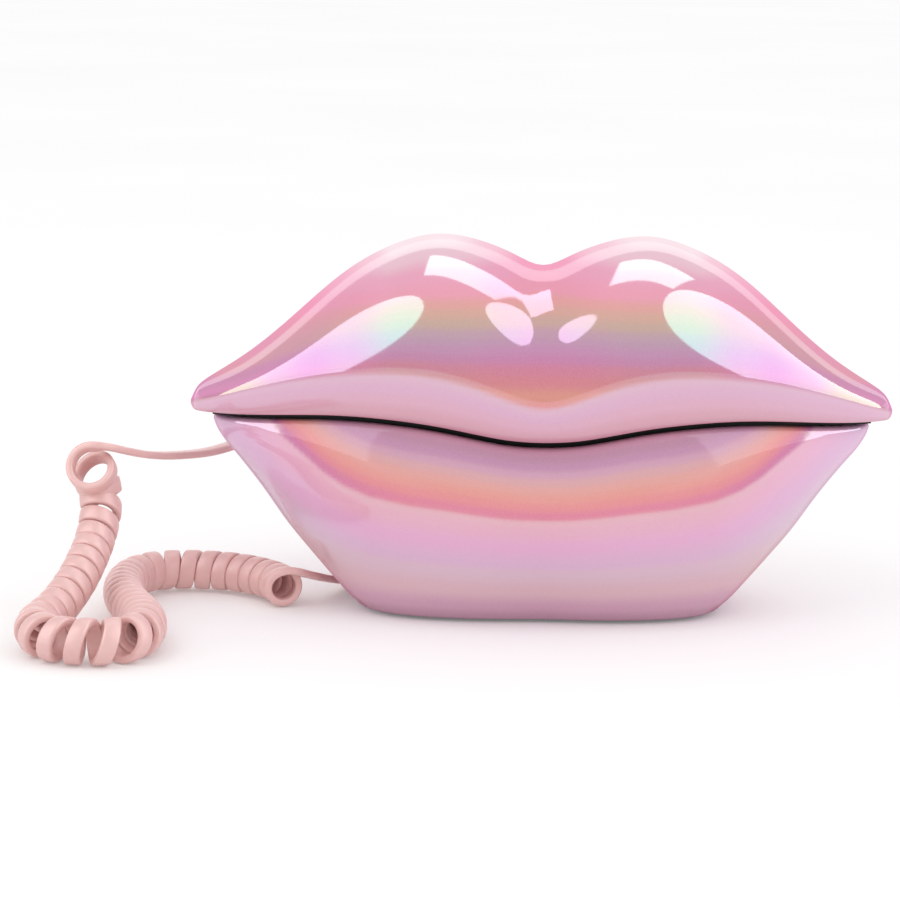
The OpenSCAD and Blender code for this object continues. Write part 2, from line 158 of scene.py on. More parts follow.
class Spline:
    """A smooth curve through a table, level at its start and even about it."""

    def __init__(self, tab):
        t = np.array(tab, float)
        x, y = t[:, 0], t[:, 1]
        n = len(x)
        h = np.diff(x)
        A = np.zeros((n, n)); b = np.zeros(n)
        A[0, 0] = 2 * h[0]; A[0, 1] = h[0]; b[0] = 6 * (y[1] - y[0]) / h[0]
        for i in range(1, n - 1):
            A[i, i - 1] = h[i - 1]; A[i, i] = 2 * (h[i - 1] + h[i]); A[i, i + 1] = h[i]
            b[i] = 6 * ((y[i + 1] - y[i]) / h[i] - (y[i] - y[i - 1]) / h[i - 1])
        A[-1, -1] = 1
        self.x, self.y, self.h, self.m = x, y, h, np.linalg.solve(A, b)

    def __call__(self, q):
        q = np.clip(np.abs(q), self.x[0], self.x[-1])
        i = np.clip(np.searchsorted(self.x, q, side='right') - 1, 0, len(self.h) - 1)
        a = (self.x[i + 1] - q) / self.h[i]
        b = (q - self.x[i]) / self.h[i]
        return a * self.y[i] + b * self.y[i + 1] + ((a ** 3 - a) * self.m[i] + (b ** 3 - b) * self.m[i + 1]) * self.h[i] ** 2 / 6


class Hermite:
    """A smooth curve through a table with the slopes of its neighbours."""

    def __init__(self, tab):
        t = np.array(tab, float)
        self.x, self.y = t[:, 0], t[:, 1]
        m = np.zeros(len(t))
        m[1:-1] = (self.y[2:] - self.y[:-2]) / (self.x[2:] - self.x[:-2])
        m[-1] = (self.y[-1] - self.y[-2]) / (self.x[-1] - self.x[-2])
        self.m = m

    def __call__(self, q):
        q = np.abs(np.asarray(q, float))
        X, Y, m = self.x, self.y, self.m
        i = np.clip(np.searchsorted(X, q, side='right') - 1, 0, len(X) - 2)
        h = X[i + 1] - X[i]
        t = np.clip((q - X[i]) / h, 0, 1)
        return ((2 * t ** 3 - 3 * t ** 2 + 1) * Y[i] + (t ** 3 - 2 * t ** 2 + t) * h * m[i]
                + (3 * t ** 2 - 2 * t ** 3) * Y[i + 1] + (t ** 3 - t ** 2) * h * m[i + 1])


def fine(hermite, lo, hi, n=400, blur=6):
    """The same curve with its curvature smoothed, sampled as a callable."""
    xs = np.linspace(lo, hi, n)
    ys = hermite(xs)
    full_x = np.concatenate([-xs[::-1][:-1] + 2 * lo, xs])
    full = np.concatenate([ys[::-1][:-1], ys])
    k = np.arange(-3 * blur, 3 * blur + 1)
    w = np.exp(-(k / blur) ** 2 / 2); w /= w.sum()
    slope = full[-1] - full[-2]
    tail = full[-1] + slope * np.arange(1, 3 * blur + 1)
    head = full[0] - (full[1] - full[0]) * np.arange(3 * blur, 0, -1)
    sm = np.convolve(np.concatenate([head, full, tail]), w, mode='valid')
    return lambda q: np.interp(np.abs(q), full_x, sm)


# ------------------------------------------------------------------ materials
def new_mat(name):
    m = bpy.data.materials.new(name)
    m.use_nodes = True
    nt = m.node_tree
    bsdf = next(n for n in nt.nodes if n.type == 'BSDF_PRINCIPLED')
    return m, nt, bsdf


def node(nt, kind, **kw):
    n = nt.nodes.new(kind)
    for k, v in kw.items():
        setattr(n, k, v)
    return n


def noise_of(nt, scale, detail=4.0, rough=0.55, coord='Object'):
    tc = node(nt, "ShaderNodeTexCoord")
    n = node(nt, "ShaderNodeTexNoise")
    n.inputs["Scale"].default_value = scale
    n.inputs["Detail"].default_value = detail
    n.inputs["Roughness"].default_value = rough
    nt.links.new(tc.outputs[coord], n.inputs["Vector"])
    return n


def ramp_of(nt, fac, stops, interpolation='LINEAR'):
    r = node(nt, "ShaderNodeValToRGB")
    cr_ = r.color_ramp
    cr_.interpolation = interpolation
    while len(cr_.elements) > 1:
        cr_.elements.remove(cr_.elements[-1])
    cr_.elements[0].position = stops[0][0]
    cr_.elements[0].color = tuple(stops[0][1]) + (1,)
    for p, c in stops[1:]:
        e = cr_.elements.new(p)
        e.color = tuple(c) + (1,)
    nt.links.new(fac, r.inputs["Fac"])
    return r


def mix_rgb(nt, fac, a, b, blend='MIX'):
    m = node(nt, "ShaderNodeMix", data_type='RGBA', blend_type=blend)
    for sock, val in ((m.inputs[0], fac), (m.inputs[6], a), (m.inputs[7], b)):
        if isinstance(val, (int, float)):
            sock.default_value = val
        elif isinstance(val, tuple):
            sock.default_value = val + (1,) if len(val) == 3 else val
        else:
            nt.links.new(val, sock)
    return m.outputs[2]


def map_range(nt, v, a, b, c, d):
    m = node(nt, "ShaderNodeMapRange")
    for s, x in zip(("From Min", "From Max", "To Min", "To Max"), (a, b, c, d)):
        m.inputs[s].default_value = x
    nt.links.new(v, m.inputs["Value"])
    return m.outputs["Result"]


def bump(nt, bsdf, height, strength, distance):
    b = node(nt, "ShaderNodeBump")
    b.inputs["Strength"].default_value = strength
    b.inputs["Distance"].default_value = distance
    nt.links.new(height, b.inputs["Height"])
    nt.links.new(b.outputs["Normal"], bsdf.inputs["Normal"])
    return b


def plastic(name, colour, spread=0.12, rough=(0.28, 0.42), scale=90.0, grain=0.00004, spec=0.5, metallic=0.0, coat=0.0):
    """Moulded plastic or metal: mottled colour, uneven gloss and a fine moulded grain."""
    m, nt, b = new_mat(name)
    big = noise_of(nt, scale * 0.3, 3)
    dark = tuple(c * (1 - spread) for c in colour)
    light = tuple(min(1, c * (1 + spread)) for c in colour)
    r = ramp_of(nt, big.outputs["Fac"], [(0.3, dark), (0.7, light)])
    nt.links.new(r.outputs["Color"], b.inputs["Base Color"])
    mid = noise_of(nt, scale, 5)
    nt.links.new(map_range(nt, mid.outputs["Fac"], 0.3, 0.7, rough[0], rough[1]), b.inputs["Roughness"])
    fine_n = noise_of(nt, scale * 22, 2)
    bump(nt, b, fine_n.outputs["Fac"], 0.35, grain)
    b.inputs["Specular IOR Level"].default_value = spec
    b.inputs["Metallic"].default_value = metallic
    b.inputs["Coat Weight"].default_value = coat
    return m


M = {}
M["black_plastic"] = plastic("black_plastic", lin((9, 9, 10)), 0.25, (0.35, 0.55), 70, spec=0.14)
M["rubber"] = plastic("rubber", lin((38, 38, 40)), 0.2, (0.65, 0.85), 60, 0.00008, 0.3)
M["steel"] = plastic("steel", lin((176, 178, 182)), 0.08, (0.24, 0.4), 160, 0.00002, 0.5, 1.0)
M["ringer_brass"] = plastic("ringer_brass", lin((196, 164, 92)), 0.1, (0.25, 0.4), 140, 0.00002, 0.5, 1.0)
M["jack_plastic"] = plastic("jack_plastic", lin((206, 200, 190)), 0.06, (0.3, 0.45), 80)
M["grey_plastic"] = plastic("grey_plastic", lin((120, 120, 126)), 0.12, (0.3, 0.5), 80)
M["silicone"] = plastic("silicone", lin((150, 152, 156)), 0.1, (0.5, 0.7), 60, 0.00006, 0.35)
M["key_plastic"] = plastic("key_plastic", lin((246, 236, 238)), 0.035, (0.22, 0.34), 90, 0.00003, 0.5)
M["digit_ink"] = plastic("digit_ink", lin((70, 62, 68)), 0.12, (0.4, 0.55), 120)


def board_material():
    m, nt, b = new_mat("circuit_board")
    n = noise_of(nt, 220, 2)
    tc = node(nt, "ShaderNodeTexCoord")
    br = node(nt, "ShaderNodeTexBrick")
    br.inputs["Scale"].default_value = 140
    br.inputs["Mortar Size"].default_value = 0.012
    br.inputs["Color1"].default_value = lin((28, 92, 56)) + (1,)
    br.inputs["Color2"].default_value = lin((34, 104, 62)) + (1,)
    br.inputs["Mortar"].default_value = lin((64, 138, 84)) + (1,)
    nt.links.new(tc.outputs["Object"], br.inputs["Vector"])
    nt.links.new(mix_rgb(nt, n.outputs["Fac"], br.outputs["Color"], lin((24, 84, 50))), b.inputs["Base Color"])
    nt.links.new(map_range(nt, n.outputs["Fac"], 0.3, 0.7, 0.25, 0.45), b.inputs["Roughness"])
    bump(nt, b, br.outputs["Fac"], 0.3, 0.00005)
    return m


M["circuit_board"] = board_material()


def clear_material():
    m, nt, b = new_mat("clear_plug")
    n = noise_of(nt, 300, 3)
    r = ramp_of(nt, n.outputs["Fac"], [(0.3, lin((226, 232, 234))), (0.7, lin((246, 248, 248)))])
    nt.links.new(r.outputs["Color"], b.inputs["Base Color"])
    nt.links.new(map_range(nt, n.outputs["Fac"], 0.3, 0.7, 0.06, 0.16), b.inputs["Roughness"])
    bump(nt, b, n.outputs["Fac"], 0.15, 0.00003)
    b.inputs["Transmission Weight"].default_value = 0.8
    b.inputs["IOR"].default_value = 1.49
    return m


M["clear_plug"] = clear_material()


def cord_material():
    m, nt, b = new_mat("cord_pvc")
    big = noise_of(nt, 70, 3)
    fine_n = noise_of(nt, 900, 4)
    base = ramp_of(nt, big.outputs["Fac"], [(0.25, lin((222, 178, 175))), (0.75, lin((231, 190, 186)))])
    nt.links.new(mix_rgb(nt, map_range(nt, fine_n.outputs["Fac"], 0.3, 0.7, 0.0, 0.12),
                         base.outputs["Color"], lin((210, 158, 154))), b.inputs["Base Color"])
    nt.links.new(map_range(nt, fine_n.outputs["Fac"], 0.3, 0.7, 0.34, 0.5), b.inputs["Roughness"])
    bump(nt, b, fine_n.outputs["Fac"], 0.25, 0.00006)
    b.inputs["Subsurface Weight"].default_value = 0.08
    b.inputs["Subsurface Radius"].default_value = (0.002, 0.001, 0.0008)
    b.inputs["Subsurface Scale"].default_value = 0.6
    return m


M["cord_pvc"] = cord_material()

# ------------------------------------------------------------------ cord
coil_route = [[-132.5, -26.2, 45.2], [-132.2, -23.4, 43.8], [-131.8, -20.6, 42.2], [-131, -18.7, 39.8], [-130.4, -18, 37], [-129.8, -18.8, 33.8], [-129.6, -21.8, 30.8],
              [-129.9, -25.8, 26.9], [-130.8, -31, 22.5], [-132.3, -38, 18.5], [-134.2, -45, 14.6], [-136.8, -52, 11],
              [-139.6, -59, 8.2], [-142, -67, 7], [-141.5, -75, 6.8], [-138.5, -81, 6.8], [-133, -85, 6.8], [-126, -86.8, 6.8],
              [-119.3, -86, 6.8], [-114.5, -81.5, 6.8], [-112.3, -74, 6.8], [-112.5, -64, 6.8], [-114.9, -53, 6.8],
              [-118.6, -42, 6.8], [-121.6, -31, 6.7], [-123.2, -20, 6.6], [-123.6, -10, 6.5], [-122.2, -1, 6.5], [-118.6, 6, 6.5],
              [-113, 9.6, 6.5], [-106.5, 10.8, 6.5], [-100, 10.4, 6.5], [-93.5, 8.4, 6.5], [-87, 4.6, 6.5], [-81.4, -1, 6.5],
              [-77.4, -7.2, 6.5], [-75.8, -13.5, 6.5]]
lead_handset_route = [[-62, 37.9, 69.6], [-62, 44, 69.6], [-62.5, 50, 68], [-64, 54.5, 63.5], [-68, 56.5, 56.5], [-75, 54.5, 49.5],
                      [-84, 46, 44.8], [-92, 34, 42.4], [-98, 21.5, 42], [-103.2, 13, 42.2], [-108.5, 4, 43.2], [-113.5, -4, 44.4],
                      [-118, -11, 46], [-122.5, -17, 48], [-126.4, -20.6, 49.6]]
lead_base_route = [[-71.6, -10.6, 10.7], [-67.8, -4, 8.3], [-63.8, 4, 5.7], [-59.8, 12, 3.5], [-56.6, 20.5, 2.4], [-53, 31, 2.2],
                   [-48, 42, 2.2], [-40, 50, 2.8], [-31, 54, 5.5], [-25.5, 53, 11], [-24, 48, 15.4], [-24, 43.5, 16.6], [-24, 41.2, 16.6]]
STRAP_W, STRAP_T = 4.8, 2.3


def catmull(route, step):
    p = np.array(route, float)
    q = np.vstack([2 * p[0] - p[1], p, 2 * p[-1] - p[-2]])
    out = []
    for i in range(1, len(q) - 2):
        t = np.linspace(0, 1, 24, endpoint=False)[:, None]
        a, b, c, d = q[i - 1], q[i], q[i + 1], q[i + 2]
        out.append(0.5 * (2 * b + (c - a) * t + (2 * a - 5 * b + 4 * c - d) * t ** 2 + (3 * b - a - 3 * c + d) * t ** 3))
    out = np.vstack(out + [p[-1:]])
    return resample(out, step)


def resample(pts, step, extra=None):
    s = np.concatenate([[0], np.cumsum(np.linalg.norm(np.diff(pts, axis=0), axis=1))])
    n = max(2, int(round(s[-1] / step)) + 1)
    u = np.linspace(0, s[-1], n)
    out = np.stack([np.interp(u, s, pts[:, k]) for k in range(pts.shape[1])], 1)
    if extra is None:
        return out
    return out, np.stack([np.interp(u, s, extra[:, k]) for k in range(extra.shape[1])], 1)


def blur_rows(a, w):
    k = np.arange(-3 * w, 3 * w + 1)
    g = np.exp(-(k / w) ** 2 / 2); g /= g.sum()
    pad = np.vstack([np.repeat(a[:1], 3 * w, 0), a, np.repeat(a[-1:], 3 * w, 0)])
    return np.stack([np.convolve(pad[:, i], g, mode='valid') for i in range(a.shape[1])], 1)


def unit(v):
    return v / (np.linalg.norm(v, axis=-1, keepdims=True) + 1e-12)


axis = catmull(coil_route, 0.5)
axis = blur_rows(axis, 5)
tan = unit(np.gradient(axis, axis=0))
sa = np.concatenate([[0], np.cumsum(np.linalg.norm(np.diff(axis, axis=0), axis=1))])
total = sa[-1]
# outer radius along the coil, from the top ring to the end by the base
outer_r = np.interp(sa, [0, 6, 14, 30, 58, 78, 110, 130, 160, 200, 240, total],
                    [7.4, 7.1, 6.35, 6.0, 6.15, 6.7, 6.75, 6.6, 6.25, 6.15, 6.0, 6.1])
outer_r = blur_rows(outer_r[:, None], 8)[:, 0]
mid_r = outer_r - STRAP_T / 2
kappa = np.linalg.norm(np.gradient(tan, axis=0), axis=1) / np.gradient(sa)
kappa = blur_rows(kappa[:, None], 9)[:, 0]
# closely wound where straight, fanned open on the outside of a bend
pitch = np.maximum(5.15, 5.0 / np.clip(1 - 0.8 * mid_r * kappa, 0.5, 1))
pitch = np.minimum(pitch, np.interp(sa, [0, 5, 9, 16, 22], [5.2, 5.4, 6.6, 8.0, 12.0]))
pitch = blur_rows(pitch[:, None], 8)[:, 0]
# parallel transport
nrm = np.zeros_like(axis)
v0 = np.array([1.0, 0, 0]); v0 -= tan[0] * (v0 @ tan[0]); nrm[0] = v0 / np.linalg.norm(v0)
for i in range(1, len(axis)):
    v = nrm[i - 1] - tan[i] * (nrm[i - 1] @ tan[i])
    nrm[i] = v / np.linalg.norm(v)
bin_ = np.cross(tan, nrm)
turns = np.concatenate([[0], np.cumsum(0.5 * (1 / pitch[1:] + 1 / pitch[:-1]) * np.diff(sa))])
START_TURN = 0.22
# stretch the winding slightly, so that the last turn leaves from the top of the end ring
up_n, up_b = nrm[-1][2], bin_[-1][2]
end_angle = (math.atan2(-up_b, up_n) / (2 * math.pi) - 0.06) % 1.0
want = end_angle - START_TURN
n_turn = math.floor(turns[-1] - want) + want
turns = turns * n_turn / turns[-1]
dense = np.arange(0, n_turn, 1 / 40)
si = np.interp(dense, turns, sa)


def along(arr):
    return np.stack([np.interp(si, sa, arr[:, k]) for k in range(arr.shape[1])], 1)


A_, T_, N_, B_ = along(axis), unit(along(tan)), unit(along(nrm)), unit(along(bin_))
R_ = np.interp(si, sa, mid_r)[:, None]
ph = (2 * math.pi * (dense + START_TURN))[:, None]
radial = N_ * np.cos(ph) - B_ * np.sin(ph)
helix = A_ + radial * R_


def bridge(p0, t0, p1, t1, n0, n1, reach, step=1.0):
    """A smooth joining stretch, with the strap's thickness direction turned along it."""
    d = np.linalg.norm(p1 - p0) * reach
    u = np.linspace(0, 1, max(6, int(np.linalg.norm(p1 - p0) / step) * 2))[:, None]
    h = ((2 * u ** 3 - 3 * u ** 2 + 1) * p0 + (u ** 3 - 2 * u ** 2 + u) * d * t0
         + (3 * u ** 2 - 2 * u ** 3) * p1 + (u ** 3 - u ** 2) * d * t1)
    w = u * u * (3 - 2 * u)
    return h, unit(n0 * (1 - w) + n1 * w)


lead_a = blur_rows(catmull(lead_handset_route, 1.0), 2)
lead_b = blur_rows(catmull(lead_base_route, 1.0), 2)
lead_a[0] = lead_handset_route[0]
lead_b[-1] = lead_base_route[-1]


def lead_normals(pts):
    t = unit(np.gradient(pts, axis=0))
    z = np.array([0, 0, 1.0])
    n = z - t * (t @ z)[:, None]
    side = np.linalg.norm(n, axis=1)
    alt = np.array([0, 1.0, 0]) - t * (t @ np.array([0, 1.0, 0]))[:, None]
    w = np.clip((side - 0.25) / 0.35, 0, 1)[:, None]
    sign = np.sign((unit(alt) * unit(n)).sum(1))[:, None]
    return unit(unit(n) * w + unit(alt) * np.where(sign == 0, 1, sign) * (1 - w))


na, nb = lead_normals(lead_a), lead_normals(lead_b)
ht = unit(np.gradient(helix, axis=0))
ta, tb = unit(np.gradient(lead_a, axis=0)), unit(np.gradient(lead_b, axis=0))
j0, m0 = bridge(lead_a[-1], ta[-1], helix[0], ht[0], na[-1], radial[0], 1.35)
j1, m1 = bridge(helix[-1], ht[-1], lead_b[0], tb[0], radial[-1], nb[0], 1.2)
line = np.vstack([lead_a[:-1], j0[:-1], helix[:-1], j1[:-1], lead_b])
face = np.vstack([na[:-1], m0[:-1], radial[:-1], m1[:-1], nb])
# the lead's lower stretches lie on the table, not in it
line, face = resample(line, 0.95, face)
line = blur_rows(line, 1)
line[0] = lead_handset_route[0]; line[-1] = lead_base_route[-1]
face = unit(blur_rows(face, 2))
ct = unit(np.gradient(line, axis=0))
cn = unit(face - ct * (face * ct).sum(1)[:, None])
cw = np.cross(ct, cn)
low = 0.15 + np.abs(cn[:, 2]) * STRAP_T / 2 + np.abs(cw[:, 2]) * STRAP_W / 2
line[:, 2] = np.maximum(line[:, 2], low)
PROFILE = []
for k in range(14):
    a = 2 * math.pi * (k + 0.5) / 14
    c_, s_ = math.cos(a), math.sin(a)
    PROFILE.append((math.copysign(abs(c_) ** 0.42, c_) * STRAP_W / 2, math.copysign(abs(s_) ** 0.5, s_) * STRAP_T / 2))
verts, faces = [], []
for i in range(len(line)):
    for (w_, t_) in PROFILE:
        verts.append((line[i] + cw[i] * w_ + cn[i] * t_) * MM)
P = len(PROFILE)
for i in range(len(line) - 1):
    for k in range(P):
        k2 = (k + 1) % P
        faces.append((i * P + k, i * P + k2, (i + 1) * P + k2, (i + 1) * P + k))
faces.append(tuple(range(P - 1, -1, -1)))
faces.append(tuple(range((len(line) - 1) * P, len(line) * P)))
cord = mesh_object("handset_cord", verts, faces)
bm = bmesh.new(); bm.from_mesh(cord.data); bmesh.ops.recalc_face_normals(bm, faces=bm.faces); bm.to_mesh(cord.data); bm.free()
shade(cord, 60)
cord.data.materials.append(M["cord_pvc"])
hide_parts("cord_coil", "cord_lead_handset", "cord_lead_base")

# ------------------------------------------------------------------ lips
top = fine(Spline([[0, 102], [8, 105], [16, 108.4], [24, 110.6], [32, 111.2], [44, 108.2], [60, 99], [75, 85.8], [90, 73.6], [100, 67.4], [104, 63.9], [105, 62.4]]), 0, 105, 420, 5)
bulge = fine(Spline([[0, 67], [15, 71], [30, 75], [50, 75.5], [72, 72], [90, 66.5], [105, 60.5]]), 0, 105, 420, 8)
seam = fine(Spline([[0, 56.4], [10, 56.9], [20, 58.5], [30, 60.2], [45, 61.7], [60, 62], [75, 61], [90, 59.6], [105, 58.4]]), 0, 105, 420, 5)
half_w = Hermite([[0, 53], [0.03, 55.5], [0.07, 58], [0.16, 62.8], [0.25, 67.6], [0.42, 76], [0.6, 83.4], [0.77, 90.8], [0.86, 94.9], [0.94, 97.5], [1, 98.5]])
front = Hermite([[0, 27.5], [0.04, 30], [0.1, 32.6], [0.2, 36.4], [0.4, 43], [0.55, 45.6], [0.66, 46], [0.8, 45], [0.92, 42.6], [1, 40]])
back = Hermite([[0, 28], [0.06, 30.5], [0.2, 36], [0.4, 42], [0.62, 44.5], [0.8, 43.5], [1, 40.5]])
round_x = Hermite([[0, 0.62], [0.3, 0.8], [0.7, 1], [1, 1]])
round_y = Hermite([[0, 0.62], [0.3, 0.85], [0.7, 1.15], [1, 1.25]])
half_w, front, back = fine(half_w, 0, 1, 500, 10), fine(front, 0, 1, 500, 12), fine(back, 0, 1, 500, 12)
WALL, LIP_GAP, TM = 2.5, 2.0, math.radians(66)


def taper(x):
    return np.clip(1 - (np.abs(x) / (105 * 1.0025)) ** 2, 0, 1) ** 0.625


def upper_curve(x, w, n1, n2):
    """Section of the upper lip at x: front seam edge, over the top, back seam edge."""
    c = float(taper(x)); zt = float(top(x)) - w * 1.2; zb = min(float(bulge(x)), zt - 0.8); zm = float(seam(x))
    yf, ymf, yr, yb, ymb = -46 * c + w, -41.5 * c + w, 3 * c, 46 * c - w, 42 * c - w
    k = 1 - math.cos(TM)
    a1 = np.linspace(TM, 0, n1, endpoint=False)
    a2 = np.linspace(0, math.pi / 2, n2, endpoint=False)
    a3 = np.linspace(math.pi / 2, 0, n2, endpoint=False)
    a4 = np.linspace(0, TM, n1)
    ys = np.concatenate([yf + (ymf - yf) * (1 - np.cos(a1)) / k, yr + (yf - yr) * np.cos(a2),
                         yr + (yb - yr) * np.cos(a3), yb + (ymb - yb) * (1 - np.cos(a4)) / k])
    zs = np.concatenate([zb - (zb - zm) * np.sin(a1) / math.sin(TM), zb + (zt - zb) * np.sin(a2),
                         zb + (zt - zb) * np.sin(a3), zb - (zb - zm) * np.sin(a4) / math.sin(TM)])
    return np.stack([ys, zs], 1)


def round_corner(corner, a, b, r, n=5):
    """Points round a corner, from the side of a to the side of b."""
    pa, pb = corner + unit(a - corner) * r, corner + unit(b - corner) * r
    t = np.linspace(0, 1, n)[:, None]
    return (1 - t) ** 2 * pa + 2 * t * (1 - t) * corner + t ** 2 * pb


def upper_section(x, n=150):
    o = upper_curve(x, 0, 60, 110)
    xi = x * 0.945
    inn = upper_curve(xi, WALL, 12, 18)
    s = np.concatenate([[0], np.cumsum(np.linalg.norm(np.diff(o, axis=0), axis=1))])
    r = min(0.8, s[-1] * 0.08)
    u = np.linspace(r, s[-1] - r, n)
    body = np.stack([np.interp(u, s, o[:, 0]), np.interp(u, s, o[:, 1])], 1)
    rr_ = r * 1.0
    c0 = round_corner(o[0], body[0], np.array([o[0, 0] + 1, o[0, 1]]), rr_)[::-1]
    c1 = round_corner(o[-1], body[-1], np.array([o[-1, 0] - 1, o[-1, 1]]), rr_)
    out = np.vstack([c0[:-1], body, c1[1:]])
    out3 = np.column_stack([np.full(len(out), x), out])
    in3 = np.column_stack([np.full(len(inn), xi), inn])
    return out3, in3


def rounded_tip(sec, x, r=2.4, zc=60.35):
    k = math.sqrt(max(0.0, 1 - max(0.0, (abs(x) - (105 - r)) / r) ** 2))
    k = max(k, 0.04)
    sec = sec.copy()
    sec[:, 1] *= k
    sec[:, 2] = zc + (sec[:, 2] - zc) * k
    return sec


def grid_faces(n, m, offset=0, flip=False):
    out = []
    for i in range(n - 1):
        for j in range(m - 1):
            a, b = offset + i * m + j, offset + (i + 1) * m + j
            out.append((a, a + 1, b + 1, b) if flip else (a, b, b + 1, a + 1))
    return out


QUICK = False
NS = 150
u_ = np.linspace(-1, 1, NS + 1)
xs = 105 * np.sin(u_ * math.radians(88)) / math.sin(math.radians(88))
outer_rows, inner_rows = [], []
for x in xs:
    o3, i3 = upper_section(x)
    outer_rows.append(rounded_tip(o3, x))
    inner_rows.append(i3)
mo, mi = len(outer_rows[0]), len(inner_rows[0])
no = NS + 1
verts = np.vstack(outer_rows + inner_rows) * MM
o2 = no * mo
faces = grid_faces(no, mo) + grid_faces(no, mi, o2, True)
for i in range(no - 1):
    faces.append((i * mo, o2 + i * mi, o2 + (i + 1) * mi, (i + 1) * mo))
    faces.append((i * mo + mo - 1, (i + 1) * mo + mo - 1, o2 + (i + 1) * mi + mi - 1, o2 + i * mi + mi - 1))
for i, flip in ((0, True), (no - 1, False)):
    fo = list(range(i * mo, i * mo + mo))
    fi = list(range(o2 + i * mi, o2 + i * mi + mi))
    faces.append(tuple(fo[::-1] if flip else fo))
    faces.append(tuple(fi if flip else fi[::-1]))
    quad = (fo[0], fo[-1], fi[-1], fi[0])
    faces.append(quad if flip else quad[::-1])
upper = mesh_object("upper_lip", verts, faces)


def recalc(ob):
    bm_ = bmesh.new(); bm_.from_mesh(ob.data)
    bmesh.ops.remove_doubles(bm_, verts=bm_.verts, dist=1e-7)
    bmesh.ops.recalc_face_normals(bm_, faces=bm_.faces)
    open_edges = sum(1 for e in bm_.edges if len(e.link_faces) != 2)
    bm_.to_mesh(ob.data); bm_.free()
    print(ob.name, "edges not shared by two faces:", open_edges)


recalc(upper)


def ring_outline(v, w, n):
    a = float(half_w(v)) - w * 1.5; bf = float(front(v)) - w; bb = float(back(v)) - w
    ex = float(round_x(v)); ey = float(round_y(v))
    out = []
    for q in range(4):
        th = (q + np.linspace(0, 1, 2400) ** 1.0) * math.pi / 2
        th = th + 0
        c, s = np.cos(th), np.sin(th)
        c[np.abs(c) < 1e-12] = 0; s[np.abs(s) < 1e-12] = 0
        x = a * np.sign(c) * np.abs(c) ** ex
        b = bf if q >= 2 else bb
        y = b * np.sign(s) * np.abs(s) ** ey
        d = np.concatenate([[0], np.cumsum(np.hypot(np.diff(x), np.diff(y)))])
        u = np.linspace(0, d[-1], n // 4 + 1)[:-1]
        out.append(np.stack([np.interp(u, d, x), np.interp(u, d, y)], 1))
    p = np.vstack(out)
    s2 = np.clip(np.abs(p[:, 1]) / max(bf, 1e-6), 0, 1) ** (2 / ey)
    dip = np.where(p[:, 1] < 0, 2 * np.exp(-(p[:, 0] / 13) ** 2) * math.exp(-((v - 0.3) / 0.35) ** 2) * s2, 0)
    z = 1 + (seam(p[:, 0]) - LIP_GAP - 1) * v
    return np.column_stack([p[:, 0], p[:, 1] + dip, z])


RN = 320
vs = np.concatenate([np.linspace(0.028, 0.2, 18, endpoint=False), np.linspace(0.2, 0.84, 46, endpoint=False), np.linspace(0.84, 0.97, 20)])
rings = [ring_outline(v, 0, RN) for v in vs]
# softened edge at the bottom and at the rim
foot = ring_outline(0, 0, RN)
foot_in = ring_outline(0, 1.8, RN)
b0 = [(1 - t) ** 2 * foot_in + 2 * t * (1 - t) * foot + t ** 2 * rings[0] for t in (0.0, 0.2, 0.4, 0.6, 0.8)]
rim = ring_outline(1, 0, RN)
rim_in = ring_outline(1, 1.8, RN)
t1 = [(1 - t) ** 2 * rings[-1] + 2 * t * (1 - t) * rim + t ** 2 * rim_in for t in (0.12, 0.24, 0.36, 0.48, 0.6, 0.72, 0.86, 1.0)]
outer_rings = b0 + rings + t1
inner_v = [1, 0.93, 0.85, 0.75, 0.64, 0.52, 0.4, 0.28, 0.17, 0.08, 0]
inner_rings = [ring_outline(v, WALL, RN) for v in inner_v]
all_rings = outer_rings + inner_rings
verts = np.vstack(all_rings) * MM
K = len(all_rings)
faces = []
for i in range(K):
    i2 = (i + 1) % K
    for j in range(RN):
        j2 = (j + 1) % RN
        faces.append((i * RN + j, i * RN + j2, i2 * RN + j2, i2 * RN + j))
lower = mesh_object("lower_lip", verts, faces)
recalc(lower)


def cutter(name, lo, hi):
    v = [Vector((x, y, z)) * MM for x in (lo[0], hi[0]) for y in (lo[1], hi[1]) for z in (lo[2], hi[2])]
    bm_ = bmesh.new()
    for p in v:
        bm_.verts.new(p)
    bmesh.ops.convex_hull(bm_, input=bm_.verts)
    me = bpy.data.meshes.new(name); bm_.to_mesh(me); bm_.free()
    return link(bpy.data.objects.new(name, me))


def cut(ob, boxes):
    for k, (lo, hi) in enumerate(boxes):
        c = cutter("cut_%d" % k, lo, hi)
        md = ob.modifiers.new("cut", 'BOOLEAN')
        md.operation = 'DIFFERENCE'; md.object = c; md.solver = 'EXACT'
        applied(ob)
        bpy.data.objects.remove(c)


cut(lower, [((17.2, 20, 11.4), (32.8, 60, 24.8)), ((-29.6, 20, 11.4), (-18.4, 60, 22.3)),
            ((-12, 20, 12.6), (-3, 60, 16.4)), ((3, 20, 12.6), (12, 60, 16.4))])
cut(upper, [((-67.8, 25, 64), (-56.2, 55, 75.4))])
for ob in (upper, lower):
    for poly in ob.data.polygons:
        poly.use_smooth = True
    ob.data.set_sharp_from_angle(angle=math.radians(48))


def smoothstep(e0, e1, x):
    t = np.clip((x - e0) / (e1 - e0), 0, 1)
    return t * t * (3 - 2 * t)


